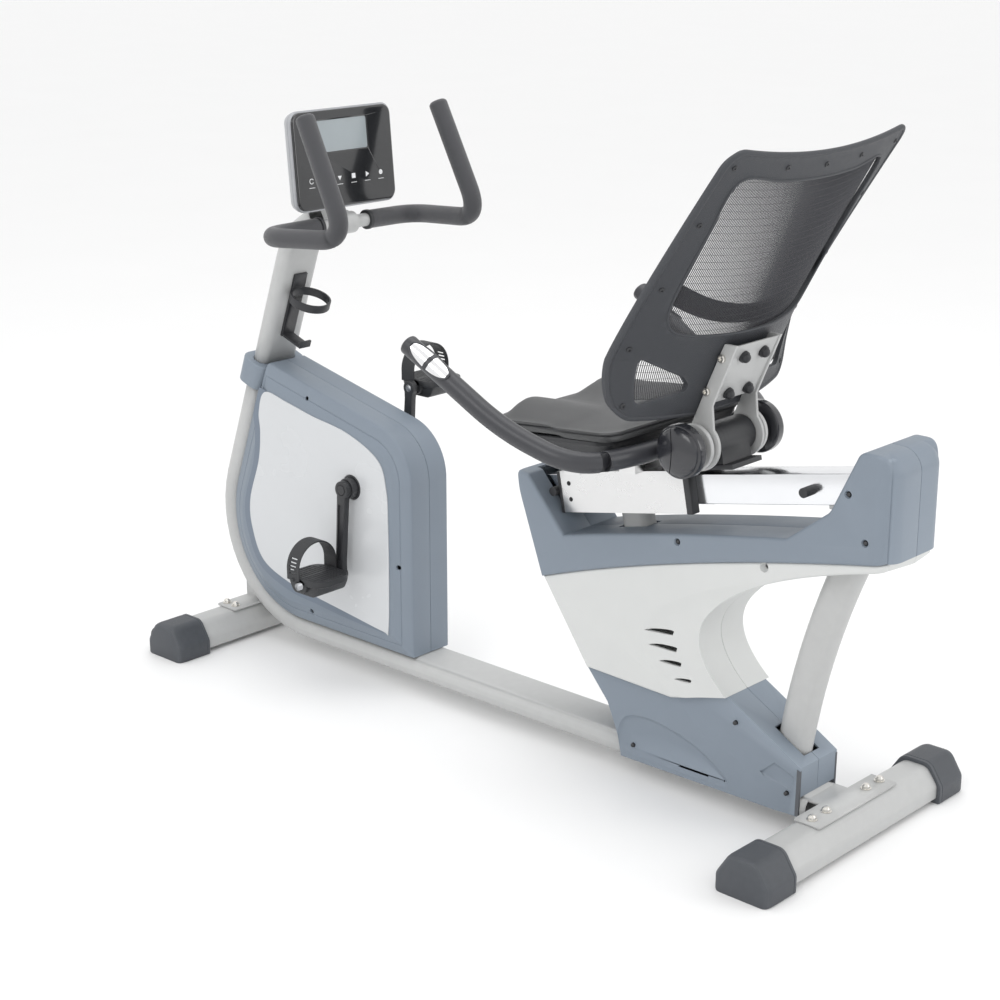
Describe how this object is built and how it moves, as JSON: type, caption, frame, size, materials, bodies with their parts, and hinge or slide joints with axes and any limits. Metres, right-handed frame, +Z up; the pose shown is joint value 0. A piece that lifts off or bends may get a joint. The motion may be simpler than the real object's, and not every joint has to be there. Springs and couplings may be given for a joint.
{
  "type": "exercise bike",
  "caption": "Recumbent exercise bike: oval tube frame, belt-driven flywheel under side covers, pedals with straps, sliding seat, mesh backrest, side handles, upright handlebar and console.",
  "frame": {"origin": "on the floor, under the middle of the bike's bounding box", "axes": "+X towards the rear (seat) end, -X towards the console, -Y is the rider's left, +Z up"},
  "size_m": [1.5999, 0.6378, 1.126],
  "materials": {
    "frame_paint": "satin light grey powder coat, fine grain",
    "blue_shell": "satin moulded ABS, blue-grey",
    "pale_shell": "satin moulded ABS, very light grey",
    "side_panel": "smooth light grey inset panel",
    "foot_cap": "dark grey moulded end cap",
    "black_plastic": "black fine-textured moulded plastic",
    "rail_metal": "polished extrusion with fine lengthwise brushing",
    "steel_plate": "bright brushed steel",
    "drive_steel": "machined steel",
    "bolt_steel": "zinc-plated fastener",
    "flywheel_iron": "turned cast iron",
    "soft_rubber": "soft black rubber",
    "grip_foam": "closed-cell black foam",
    "handle_coat": "smooth black soft-touch coating",
    "seat_vinyl": "dark grey soft vinyl over foam",
    "mesh_cloth": "black open woven mesh",
    "back_plastic": "dark grey grained moulded frame",
    "console_shell": "silver-grey housing",
    "console_lens": "glossy black front with a grey display window",
    "sensor_steel": "polished stainless sensor plates"
  },
  "bodies": {
    "frame": {"main_frame": "frame_paint", "console_post": "frame_paint", "post_sleeve": "blue_shell", "seat_frame": "frame_paint", "seat_rail": "rail_metal", "rail_stops": "soft_rubber", "front_stabilizer": "frame_paint", "rear_stabilizer": "frame_paint", "front_caps": "foot_cap", "rear_caps": "foot_cap", "stabilizer_bolts": "bolt_steel", "cover_left": "blue_shell", "cover_right": "blue_shell", "panel_left": "side_panel", "panel_right": "side_panel", "cover_screws": "black_plastic", "drive_bracket": "drive_steel", "bearings": "drive_steel", "drive_belt": "soft_rubber", "flywheel_axle": "drive_steel", "tension_motor": "black_plastic", "shroud_top_left": "blue_shell", "shroud_top_right": "blue_shell", "shroud_mid_left": "pale_shell", "shroud_mid_right": "pale_shell", "shroud_low_left": "blue_shell", "shroud_low_right": "blue_shell", "handlebar_clamp": "frame_paint", "console_housing": "console_shell", "console_face": "console_lens", "bottle_cage": "black_plastic"},
    "crank": {"crank_axle": "drive_steel", "crank_left": "black_plastic", "crank_right": "black_plastic", "drive_pulley": "black_plastic", "pedal_spindles": "drive_steel"},
    "left_pedal": {"pedal_left": "black_plastic", "strap_left": "soft_rubber"},
    "right_pedal": {"pedal_right": "black_plastic", "strap_right": "soft_rubber"},
    "flywheel": {"flywheel": "flywheel_iron"},
    "brake": {"brake_arm": "drive_steel", "brake_magnets": "drive_steel"},
    "left_wheel": {"wheel_left": "black_plastic"},
    "right_wheel": {"wheel_right": "black_plastic"},
    "seat": {"carriage": "steel_plate", "carriage_glides": "black_plastic", "seat_pan": "black_plastic", "seat_cushion": "seat_vinyl", "hub_housing": "black_plastic", "hub_caps": "black_plastic", "side_handles": "handle_coat", "pulse_sensors": "sensor_steel"},
    "seat_lock": {"seat_lock": "black_plastic"},
    "backrest": {"backrest_bracket": "frame_paint", "backrest_frame": "back_plastic", "backrest_mesh": "mesh_cloth", "backrest_bolts": "black_plastic"},
    "handlebar": {"handlebar": "frame_paint", "handlebar_grips": "grip_foam"}
  },
  "joints": [
    {"name": "flywheel_spin", "type": "hinge", "parent": "frame", "child": "flywheel", "pos_m": [-0.542, 0, 0.222], "axis": [0, 1, 0], "continuous": true},
    {"name": "crank_spin", "type": "hinge", "parent": "frame", "child": "crank", "pos_m": [-0.39, 0, 0.386], "axis": [0, 1, 0], "continuous": true},
    {"name": "left_pedal_spin", "type": "hinge", "parent": "crank", "child": "left_pedal", "pos_m": [-0.40186, 0, 0.21641], "axis": [0, 1, 0], "continuous": true},
    {"name": "right_pedal_spin", "type": "hinge", "parent": "crank", "child": "right_pedal", "pos_m": [-0.37814, 0, 0.55559], "axis": [0, 1, 0], "continuous": true},
    {"name": "brake_swing", "type": "hinge", "parent": "frame", "child": "brake", "pos_m": [-0.423, 0, 0.3], "axis": [0, 1, 0], "range_deg": [0, 12]},
    {"name": "left_wheel_spin", "type": "hinge", "parent": "frame", "child": "left_wheel", "pos_m": [-0.769, -0.24, 0.029], "axis": [0, 1, 0], "continuous": true},
    {"name": "right_wheel_spin", "type": "hinge", "parent": "frame", "child": "right_wheel", "pos_m": [-0.769, 0.24, 0.029], "axis": [0, 1, 0], "continuous": true},
    {"name": "seat_slide", "type": "slide", "parent": "frame", "child": "seat", "axis": [0.9799, 0, 0.1994], "range_m": [0, 0.22]},
    {"name": "seat_lock_lift", "type": "hinge", "parent": "seat", "child": "seat_lock", "pos_m": [0.27137, 0.054, 0.51042], "axis": [0, 1, 0], "range_deg": [0, 12], "stiffness_Nm_per_rad": 0.6, "springref_deg": -8.59},
    {"name": "backrest_recline", "type": "hinge", "parent": "seat", "child": "backrest", "pos_m": [0.42583, 0, 0.62399], "axis": [0, 1, 0], "range_deg": [-5, 12]},
    {"name": "handlebar_tilt", "type": "hinge", "parent": "frame", "child": "handlebar", "pos_m": [-0.46358, 0, 0.87512], "axis": [0, 1, 0], "range_deg": [-10, 10]}
  ],
  "couplings": [
    {"joint": "crank_spin", "follows": "flywheel_spin", "ratio": 0.16}
  ]
}
